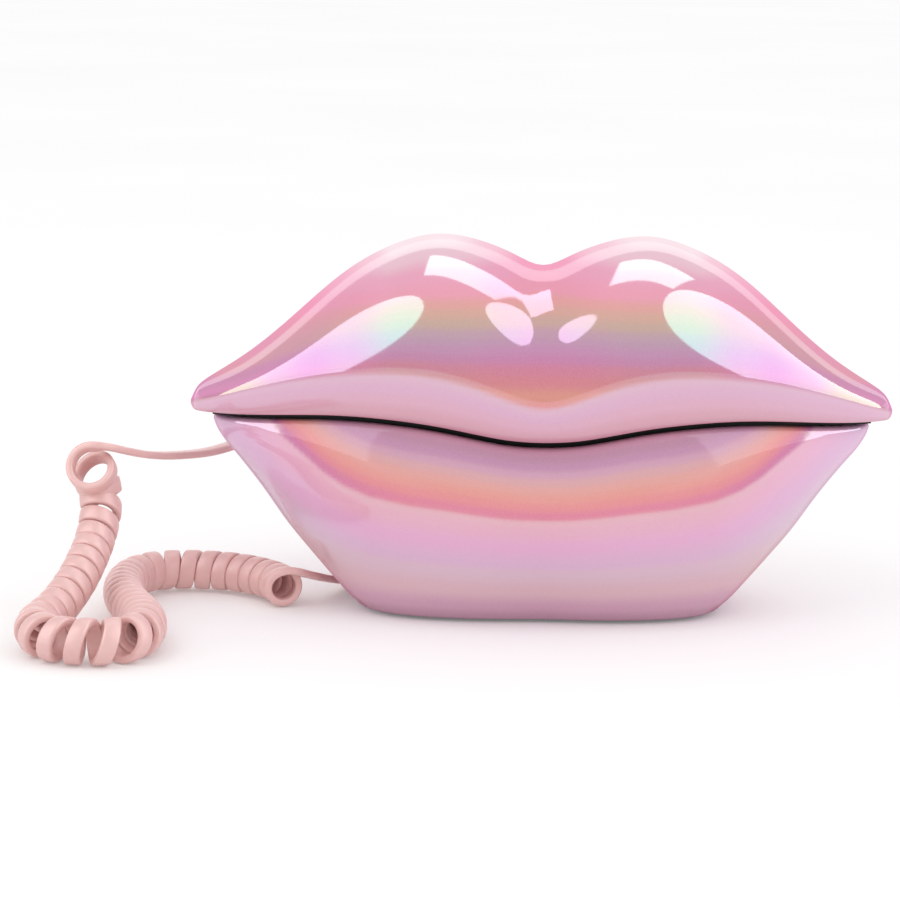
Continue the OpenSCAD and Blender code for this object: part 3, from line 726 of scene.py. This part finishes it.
# height coordinates of the colour bands; below the bulge line the colour is a painted reflection of the pale floor
co = coords(upper) / MM
X = np.abs(co[:, 0])
zt = np.where(X < 32, 111.2, top(X)); zb = bulge(X); zm = seam(X)
sgn_above = co[:, 2] - zb
h_mid = (co[:, 2] - 66.0) / (111.2 - 66.0)
crown = np.interp(X, [0, 45, 60, 75, 88, 100, 105], [111.2, 111.2, 104, 96.5, 91, 86, 84])
h_tip = (75.4 + (co[:, 2] - zb) / np.maximum(zt - zb, 1.0) * (crown - 75.4) - 66.0) / (111.2 - 66.0)
w_tip = smoothstep(22, 44, X)
H = np.clip(h_mid * (1 - w_tip) + h_tip * w_tip, 0, 1)
# depth below the bulge line, across which the painted floor reflection and the painted shade at the seam are laid
F = np.clip((zb - co[:, 2]) / np.maximum(zb - zm, 0.5), 0, 1)
edge = np.clip(sgn_above / 0.9 * 0.5 + 0.5, 0, 1)
put_attribute(upper, "band", H)
put_attribute(upper, "below", F)
put_attribute(upper, "above", smoothstep(0, 1, edge))
put_attribute(upper, "reach", np.clip(X / 105, 0, 1))
co = coords(lower) / MM
V = (co[:, 2] - 1) / (seam(co[:, 0]) - LIP_GAP - 1)
X = np.abs(co[:, 0])
# where the band colours give way to the painted reflection of the floor; it rises towards the ends, so the flanks carry
# a painted reflection of the bright surroundings
painted_reflection_bound = np.interp(X, [0, 38, 50, 58, 64, 69.5, 77, 82, 100], [0.624, 0.624, 0.645, 0.69, 0.75, 0.83, 0.935, 1.06, 1.3])
put_attribute(lower, "band", np.clip((V - painted_reflection_bound) / 0.4, 0, 1))
put_attribute(lower, "above", smoothstep(-0.014, 0.014, V - painted_reflection_bound))
put_attribute(lower, "below", np.clip((painted_reflection_bound - V) / np.minimum(painted_reflection_bound, 1.05), 0, 1))
put_attribute(lower, "reach", np.clip(X / 98.5, 0, 1))


def attribute(nt, name):
    a = node(nt, "ShaderNodeAttribute", attribute_name=name, attribute_type='GEOMETRY')
    return a.outputs["Fac"]


def hz(z):
    return (z - 66.0) / (111.2 - 66.0)


def film(lit, skin):
    """A colour as it should look under this light, less what the glossy skin adds, as a base colour."""
    return lambda c: tuple(min(1.0, max(0.02, (v - skin) / lit)) for v in lin(c))


tone_a, tone_b, tone_c, tone_d = film(1.0, 0.045), film(1.0, 0.083), film(0.985, 0.022), film(0.96, 0.058)


def pearl_and_painted_reflection(name, above_stops, side_stops, below_painted_reflection_stops, below_side_painted_reflection_stops, tint_stops, skin_stops):
    """Pearl film over glossy plastic: colour bands that follow the form, a clear reflecting skin and a faint ripple.
    Below the colour boundary the paler colour is a painted reflection of the pale floor and bright surroundings. The
    pale top of the band ramps is a painted reflection of the white backdrop.
    """
    m, nt, b = new_mat(name)
    band, below, above, reach = (attribute(nt, k) for k in ("band", "below", "above", "reach"))
    wob = noise_of(nt, 14, 3, 0.5)
    shift = map_range(nt, wob.outputs["Fac"], 0.3, 0.7, -0.014, 0.014)
    add = node(nt, "ShaderNodeMath", operation='ADD')
    nt.links.new(band, add.inputs[0]); nt.links.new(shift, add.inputs[1])
    up_mid = ramp_of(nt, add.outputs[0], above_stops, 'EASE')
    up_side = ramp_of(nt, add.outputs[0], side_stops, 'EASE')
    w_side = map_range(nt, reach, 0.42, 0.82, 0.0, 1.0)
    up_col = mix_rgb(nt, w_side, up_mid.outputs["Color"], up_side.outputs["Color"])
    # below the colour boundary: the coating's colour with a painted reflection of the pale floor laid into it
    lo_mid_painted_reflection = ramp_of(nt, below, below_painted_reflection_stops, 'EASE')
    lo_side_painted_reflection = ramp_of(nt, below, below_side_painted_reflection_stops, 'EASE')
    w_low = map_range(nt, reach, 0.5, 0.9, 0.0, 1.0)
    lo_col_painted_reflection = mix_rgb(nt, w_low, lo_mid_painted_reflection.outputs["Color"], lo_side_painted_reflection.outputs["Color"])
    col = mix_rgb(nt, above, lo_col_painted_reflection, up_col)
    flake = noise_of(nt, 2600, 2)
    col = mix_rgb(nt, map_range(nt, flake.outputs["Fac"], 0.35, 0.65, 0.0, 0.05), col, lin((255, 240, 250)))
    nt.links.new(col, b.inputs["Base Color"])
    smear = noise_of(nt, 30, 4)
    nt.links.new(map_range(nt, smear.outputs["Fac"], 0.3, 0.7, 0.045, 0.085), b.inputs["Roughness"])
    wave = noise_of(nt, 26, 2, 0.4)
    bump(nt, b, wave.outputs["Fac"], 0.12, 0.0003)
    tint = ramp_of(nt, reach, tint_stops, 'EASE')
    nt.links.new(mix_rgb(nt, above, (0.62, 0.66, 0.8), tint.outputs["Color"]), b.inputs["Specular Tint"])
    b.inputs["IOR"].default_value = 2.05
    b.inputs["Metallic"].default_value = 0.0
    # the skin's gloss: even below the colour boundary, by reach above it, and easing off at the very rim
    face_on = node(nt, "ShaderNodeLayerWeight")
    face_on.inputs["Blend"].default_value = 0.5
    ease = map_range(nt, face_on.outputs["Facing"], 0.48, 0.77, 1.0, 0.0)
    skin = ramp_of(nt, reach, [(q, (k, k, k)) for q, k in skin_stops], 'EASE')
    level = mix_rgb(nt, above, (0.5, 0.5, 0.5), skin.outputs["Color"])
    mul = node(nt, "ShaderNodeMath", operation='MULTIPLY')
    nt.links.new(level, mul.inputs[0]); nt.links.new(ease, mul.inputs[1])
    nt.links.new(mul.outputs[0], b.inputs["Specular IOR Level"])
    coat = node(nt, "ShaderNodeMath", operation='MULTIPLY')
    nt.links.new(mul.outputs[0], coat.inputs[0]); coat.inputs[1].default_value = 0.5
    nt.links.new(coat.outputs[0], b.inputs["Coat Weight"])
    b.inputs["Coat Roughness"].default_value = 0.03
    return m


# the film's reflection turns from rose to ice blue, lilac and pale gold along the lip
TINTS = [(0.0, (0.85, 0.5, 0.95)), (0.1, (0.72, 0.6, 0.92)), (0.24, (0.4, 0.95, 0.85)), (0.4, (0.3, 1.0, 0.85)), (0.54, (0.6, 0.66, 0.95)),
         (0.64, (0.6, 0.5, 0.9)), (0.74, (0.6, 0.66, 0.82)), (0.84, (0.6, 1.0, 0.45)), (0.95, (0.8, 1.0, 0.4))]
TINTS_LOW = [(0.0, (0.62, 0.66, 0.8)), (0.72, (0.62, 0.66, 0.8)), (0.84, (0.62, 1.0, 0.5)), (0.95, (0.8, 1.0, 0.4))]
M["pearl_upper"] = pearl_and_painted_reflection(
    "pearl_upper",
    [(0.0, tone_a((222, 150, 138))), (hz(70.5), tone_a((223, 156, 139))), (hz(74.5), tone_a((216, 140, 146))), (hz(78), tone_a((211, 138, 158))),
     (hz(80.5), tone_a((203, 140, 175))), (hz(83), tone_a((200, 148, 181))), (hz(85), tone_a((196, 155, 179))), (hz(87.1), tone_a((197, 162, 175))),
     (hz(90), tone_a((205, 172, 160))), (hz(92.7), tone_a((218, 172, 158))), (hz(95), tone_a((230, 167, 163))), (hz(98), tone_a((240, 163, 184))),
     # the palest stops at the top paint the reflection of the white backdrop along the top edge
     (hz(103), tone_a((240, 168, 194))), (hz(108), tone_a((242, 200, 214))), (1.0, tone_a((244, 226, 231)))],
    [(0.0, tone_a((214, 140, 168))), (hz(76), tone_a((206, 140, 172))), (hz(79), tone_a((226, 150, 196))), (hz(84), tone_a((214, 148, 186))),
     # side ramp: its palest stops at the top also paint the reflection of the white backdrop
     (hz(88), tone_a((222, 160, 176))), (hz(93), tone_a((228, 158, 186))), (hz(99), tone_a((236, 160, 190))), (hz(105), tone_a((241, 194, 211))),
     (1.0, tone_a((243, 220, 228)))],
    # below the bulge line: the coating's colour with a painted reflection of the pale floor, darker towards the seam as
    # painted shade above the gap
    [(0.0, tone_b((227, 188, 204))), (0.3, tone_b((226, 180, 204))), (0.55, tone_b((228, 178, 196))), (0.8, tone_b((224, 172, 184))), (1.0, tone_b((214, 160, 172)))],
    [(0.0, tone_b((232, 190, 212))), (0.5, tone_b((230, 184, 206))), (1.0, tone_b((222, 170, 186)))],
    TINTS, [(0.0, 0.5), (1.0, 0.5)])
M["pearl_lower"] = pearl_and_painted_reflection(
    "pearl_lower",
    [(0.0, tone_c((218, 136, 154))), (0.07, tone_c((219, 135, 156))), (0.185, tone_c((224, 146, 147))), (0.285, tone_c((225, 157, 149))), (0.4, tone_c((222, 164, 158))),
     (0.505, tone_c((213, 166, 169))), (0.605, tone_c((204, 160, 180))), (0.705, tone_c((191, 145, 174))), (0.81, tone_c((188, 143, 166))), (0.94, tone_c((206, 150, 172)))],
    [(0.0, tone_c((200, 132, 174))), (0.1, tone_c((206, 128, 168))), (0.2, tone_c((222, 138, 152))), (0.32, tone_c((230, 150, 146))), (0.45, tone_c((226, 160, 152))),
     (0.6, tone_c((216, 160, 166))), (0.75, tone_c((204, 146, 174))), (0.94, tone_c((206, 150, 174)))],
    # below the boundary: the coating's colour with a painted reflection of the pale floor, darker at the foot as
    # painted shade where it meets the floor
    [(0.0, tone_d((226, 178, 184))), (0.1, tone_d((227, 173, 190))), (0.26, tone_d((226, 171, 203))), (0.42, tone_d((218, 177, 204))), (0.52, tone_d((217, 183, 196))),
     (0.7, tone_d((216, 177, 184))), (0.86, tone_d((205, 158, 177))), (1.0, tone_d((186, 140, 158)))],
    # the flanks: a paler painted reflection of the bright surroundings, darker at the foot as painted shade
    [(0.0, tone_d((238, 182, 206))), (0.12, tone_d((236, 182, 210))), (0.26, tone_d((226, 183, 215))), (0.44, tone_d((220, 196, 211))), (0.6, tone_d((222, 196, 199))),
     (0.78, tone_d((224, 176, 190))), (1.0, tone_d((190, 146, 165)))],
    TINTS_LOW, [(0.0, 0.1), (0.76, 0.1), (0.82, 0.5), (1.0, 0.5)])
upper.data.materials.clear(); upper.data.materials.append(M["pearl_upper"])
lower.data.materials.clear(); lower.data.materials.append(M["pearl_lower"])
for ob, body, cad in ((upper, "handset", "handset_shell"), (lower, "base", "base_shell")):
    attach(ob, body)
    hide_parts(cad)

# ------------------------------------------------------------------ CAD nodes that stay
slot_of = {entry["node"]: entry["material_slot"] for entry in frame["record"]["subparts"]}
for name, ob in nodes.items():
    mat = M.get(slot_of.get(name), M["black_plastic"])
    if name.startswith("plug_"):
        mat = M["clear_plug"]
    ob.data.materials.clear()
    ob.data.materials.append(mat)
print("slots", slot_of)

# ------------------------------------------------------------------ keys
SEGS = {  # generic digits and signs as strokes on a 0-1 cell, x to the right, y up
    "1": [[(0.3, 0.8), (0.52, 1), (0.52, 0)]],
    "2": [[(0.15, 0.78), (0.3, 0.97), (0.6, 1), (0.82, 0.8), (0.75, 0.55), (0.15, 0), (0.85, 0)]],
    "3": [[(0.15, 0.88), (0.4, 1), (0.72, 0.93), (0.78, 0.7), (0.5, 0.53), (0.82, 0.35), (0.75, 0.08), (0.42, 0), (0.13, 0.12)]],
    "4": [[(0.68, 0), (0.68, 1), (0.12, 0.3), (0.9, 0.3)]],
    "5": [[(0.8, 1), (0.25, 1), (0.2, 0.57), (0.5, 0.64), (0.8, 0.5), (0.82, 0.2), (0.6, 0.01), (0.3, 0), (0.13, 0.12)]],
    "6": [[(0.75, 0.97), (0.4, 0.9), (0.18, 0.5), (0.18, 0.2), (0.4, 0), (0.68, 0.03), (0.82, 0.28), (0.68, 0.54), (0.4, 0.56), (0.2, 0.38)]],
    "7": [[(0.14, 1), (0.86, 1), (0.4, 0)]],
    "8": [[(0.5, 0.54), (0.22, 0.68), (0.25, 0.93), (0.5, 1), (0.75, 0.93), (0.78, 0.68), (0.5, 0.54), (0.18, 0.33), (0.22, 0.07), (0.5, 0), (0.78, 0.07), (0.82, 0.33), (0.5, 0.54)]],
    "9": [[(0.8, 0.62), (0.6, 0.44), (0.32, 0.46), (0.18, 0.72), (0.32, 0.97), (0.6, 1), (0.82, 0.8), (0.8, 0.45), (0.6, 0.08), (0.25, 0.03)]],
    "0": [[(0.5, 1), (0.24, 0.9), (0.15, 0.5), (0.24, 0.1), (0.5, 0), (0.76, 0.1), (0.85, 0.5), (0.76, 0.9), (0.5, 1)]],
    "star": [[(0.5, 0.85), (0.5, 0.25)], [(0.22, 0.7), (0.78, 0.4)], [(0.22, 0.4), (0.78, 0.7)]],
    "hash": [[(0.38, 0.1), (0.46, 0.9)], [(0.6, 0.1), (0.68, 0.9)], [(0.18, 0.36), (0.86, 0.36)], [(0.18, 0.66), (0.86, 0.66)]],
    "redial": [[(0.2, 0.5), (0.3, 0.8), (0.6, 0.88), (0.82, 0.66), (0.8, 0.36), (0.55, 0.14), (0.3, 0.2)], [(0.05, 0.66), (0.2, 0.46), (0.4, 0.62)]],
    "flash": [[(0.62, 1), (0.3, 0.48), (0.66, 0.52), (0.36, 0)]],
    "mute": [[(0.1, 0.1), (0.9, 0.95)], [(0.2, 0.35), (0.2, 0.65), (0.42, 0.65), (0.68, 0.9), (0.68, 0.12), (0.42, 0.35), (0.2, 0.35)]],
}


def key_piece(name):
    lo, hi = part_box(name)
    lo, hi = np.array(lo) / MM, np.array(hi) / MM
    ccx, ccy = (lo[0] + hi[0]) / 2, (lo[1] + hi[1]) / 2
    kw, kh = 8.0, 10.5
    zt_, zb_ = hi[2], lo[2]
    fw, fh = (hi[0] - lo[0]), (hi[1] - lo[1])
    rows = []

    def outline(w, h, r, z, dome=0.0):
        pts = []
        for qx, qy, a0 in ((1, 1, 0), (-1, 1, 90), (-1, -1, 180), (1, -1, 270)):
            for k in range(7):
                a = math.radians(a0 + 90 * k / 6)
                pts.append((ccx + qx * (w / 2 - r) + r * math.cos(a), ccy + qy * (h / 2 - r) + r * math.sin(a), z))
        return pts

    cap_top = zt_ - 1.0
    rows.append(outline(fw, fh, 0.6, zt_))
    rows.append(outline(fw, fh, 0.6, cap_top + 0.02))
    rows.append(outline(kw, kh, 2.2, cap_top))
    rows.append(outline(kw, kh, 2.3, zb_ + 0.9))
    rows.append(outline(kw - 0.16, kh - 0.16, 2.3, zb_ + 0.55))
    rows.append(outline(kw - 0.55, kh - 0.55, 2.2, zb_ + 0.22))
    rows.append(outline(kw - 1.2, kh - 1.2, 2.0, zb_ + 0.05))
    rows.append(outline(kw - 2.6, kh - 2.6, 1.6, zb_ + 0.0))
    rows.append(outline(kw - 5.0, kh - 5.4, 1.0, zb_ + 0.05))
    m_ = len(rows[0])
    vv = [p for row in rows for p in row]
    ff = []
    for i in range(len(rows) - 1):
        for j in range(m_):
            j2 = (j + 1) % m_
            ff.append((i * m_ + j, i * m_ + j2, (i + 1) * m_ + j2, (i + 1) * m_ + j))
    ff.append(tuple(range(m_)))
    ff.append(tuple(range((len(rows) - 1) * m_, len(rows) * m_)))
    ob = mesh_object(name.replace("key_", "keycap_"), np.array(vv) * MM, ff)
    recalc(ob)
    shade(ob, 40)
    ob.data.materials.append(M["key_plastic"])
    # printed sign on the face that looks down when the handset is on its base
    sign = name.replace("key_", "")
    tv, tf = [], []
    size_y, size_x = 3.2, 4.2
    small = sign in ("redial", "flash", "mute")
    if small:
        size_y, size_x = 3.2, 3.0
    for stroke in SEGS[sign]:
        pts = np.array(stroke, float)
        loc = np.stack([ccx + (pts[:, 1] - 0.5) * size_x, ccy + (pts[:, 0] - 0.5) * size_y], 1)
        loc = resample(np.column_stack([loc, np.zeros(len(loc))]), 0.3)[:, :2]
        if len(loc) > 4:
            sm = loc.copy(); sm[1:-1] = (loc[:-2] + 2 * loc[1:-1] + loc[2:]) / 4; loc = sm
        d = np.gradient(loc, axis=0); d /= np.linalg.norm(d, axis=1, keepdims=True) + 1e-9
        side = np.stack([-d[:, 1], d[:, 0]], 1) * 0.26
        start = len(tv)
        for i in range(len(loc)):
            for sgn, zz in ((1, zb_ - 0.03), (-1, zb_ - 0.03), (-1, zb_ + 0.12), (1, zb_ + 0.12)):
                tv.append((loc[i, 0] + side[i, 0] * sgn, loc[i, 1] + side[i, 1] * sgn, zz))
        for i in range(len(loc) - 1):
            for k in range(4):
                k2 = (k + 1) % 4
                tf.append((start + i * 4 + k, start + i * 4 + k2, start + (i + 1) * 4 + k2, start + (i + 1) * 4 + k))
        tf.append((start + 3, start + 2, start + 1, start))
        e = start + (len(loc) - 1) * 4
        tf.append((e, e + 1, e + 2, e + 3))
    ink = mesh_object("sign_" + sign, np.array(tv) * MM, tf)
    recalc(ink)
    ink.data.materials.append(M["digit_ink"])
    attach(ob, name)
    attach(ink, name)
    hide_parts(name)


for name in sorted(nodes):
    if name.startswith("key_"):
        key_piece(name)

# ------------------------------------------------------------------ plugs' contacts
gold = plastic("contact_gold", lin((214, 178, 96)), 0.08, (0.2, 0.32), 200, 0.00001, 0.5, 1.0)
for plug, body in (("plug_handset", "handset"), ("plug_base", "base")):
    lo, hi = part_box(plug)
    lo, hi = np.array(lo) / MM, np.array(hi) / MM
    vv, ff = [], []
    cxp = (lo[0] + hi[0]) / 2
    for k in range(4):
        x0 = cxp + (k - 1.5) * 1.05
        prof = [(lo[1] + 0.5, 0.0), (lo[1] + 0.8, -0.12), (lo[1] + 4.4, -0.12), (lo[1] + 4.7, 0.0), (lo[1] + 4.7, 2.6), (lo[1] + 0.5, 2.6)]
        base_z = lo[2] + 0.4
        s0 = len(vv)
        for dx in (-0.18, 0.18):
            for (yy, zz) in prof:
                vv.append((x0 + dx, yy, base_z + zz))
        n6 = len(prof)
        ff.append(tuple(range(s0, s0 + n6)))
        ff.append(tuple(range(s0 + 2 * n6 - 1, s0 + n6 - 1, -1)))
        for i in range(n6):
            i2 = (i + 1) % n6
            ff.append((s0 + i, s0 + n6 + i, s0 + n6 + i2, s0 + i2))
    c = mesh_object("contacts_" + plug, np.array(vv) * MM, ff)
    recalc(c)
    c.data.materials.append(gold)
    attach(c, body)

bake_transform(cord)

# ------------------------------------------------------------------ stage and light
bpy.ops.mesh.primitive_plane_add(size=16, location=(0, 0, 0))
floor = bpy.context.object
floor.name = "floor"
fm, fnt, fb = new_mat("floor_paper")
fn = noise_of(fnt, 3, 2)
fr = ramp_of(fnt, fn.outputs["Fac"], [(0.3, (0.80, 0.80, 0.80)), (0.7, (0.82, 0.82, 0.82))])
fnt.links.new(fr.outputs["Color"], fb.inputs["Base Color"])
fb.inputs["Roughness"].default_value = 0.9
fb.inputs["Specular IOR Level"].default_value = 0.0
fb.inputs["Emission Color"].default_value = (1, 1, 1, 1)
fb.inputs["Emission Strength"].default_value = 0.15
floor.data.materials.append(fm)

world = bpy.data.worlds.new("world")
scene.world = world
world.use_nodes = True
bg = next(n for n in world.node_tree.nodes if n.type == 'BACKGROUND')
bg.inputs["Color"].default_value = (1.0, 0.995, 0.995, 1)
wl = world.node_tree
lp = node(wl, "ShaderNodeLightPath")
wl.links.new(map_range(wl, lp.outputs["Is Glossy Ray"], 0, 1, 1.02, 0.30), bg.inputs["Strength"])


def area(name, az, el, dist, w, h, radiance, glossy_only=False, aim=(0, 0, 0.06), colour=(1, 1, 1), diffuse_only=False, soft=0.0, shape='RECTANGLE'):
    """A softbox; az from the camera's side (-Y), positive to the right, el above the floor."""
    a, e = math.radians(az), math.radians(el)
    d = Vector((math.sin(a) * math.cos(e), -math.cos(a) * math.cos(e), math.sin(e)))
    pos = Vector(aim) + d * dist
    L = bpy.data.lights.new(name, 'AREA')
    L.shape = shape
    L.size, L.size_y = w, h
    L.energy = radiance * math.pi * w * h
    L.color = colour
    if soft and shape == 'RECTANGLE':
        # the cloth front of the box fades out towards its edges
        L.use_nodes = True
        nt = L.node_tree
        em = next(n for n in nt.nodes if n.type == 'EMISSION')
        geo = node(nt, "ShaderNodeNewGeometry")
        sep = node(nt, "ShaderNodeSeparateXYZ")
        nt.links.new(geo.outputs["Parametric"], sep.inputs[0])
        parts = []
        for k in (0, 1):
            r = ramp_of(nt, sep.outputs[k], [(0.0, (0, 0, 0)), (soft, (1, 1, 1)), (1 - soft, (1, 1, 1)), (1.0, (0, 0, 0))], 'EASE')
            parts.append(r.outputs["Color"])
        mul = node(nt, "ShaderNodeMath", operation='MULTIPLY')
        nt.links.new(parts[0], mul.inputs[0]); nt.links.new(parts[1], mul.inputs[1])
        nt.links.new(mul.outputs[0], em.inputs["Strength"])
    ob = link(bpy.data.objects.new(name, L))
    ob.location = pos
    ob.rotation_euler = (-d).to_track_quat('-Z', 'Y').to_euler()
    ob.visible_camera = False
    if glossy_only:
        ob.visible_diffuse = False
        ob.visible_transmission = False
    if diffuse_only:
        ob.visible_glossy = False
    return ob


area("box_left", -67, 20, 1.4, 1.5, 3.5, 3.0, True, shape='ELLIPSE')
area("box_right", 78, 21, 1.4, 2.2, 3.6, 3.0, True, shape='ELLIPSE')
area("box_top", 165, 65, 1.4, 0.90, 0.62, 3.4, True, soft=0.03)
area("panel_back", 180, 7, 1.6, 2.5, 2.05, 0.75, True, shape='ELLIPSE')
area("panel_low", 180, 4, 1.6, 5.5, 0.58, 0.5, True, soft=0.01)
area("key_left", -50, 50, 1.3, 0.7, 0.7, 0.9, diffuse_only=True)
area("key_right", 60, 45, 1.3, 0.7, 0.7, 0.7, diffuse_only=True)
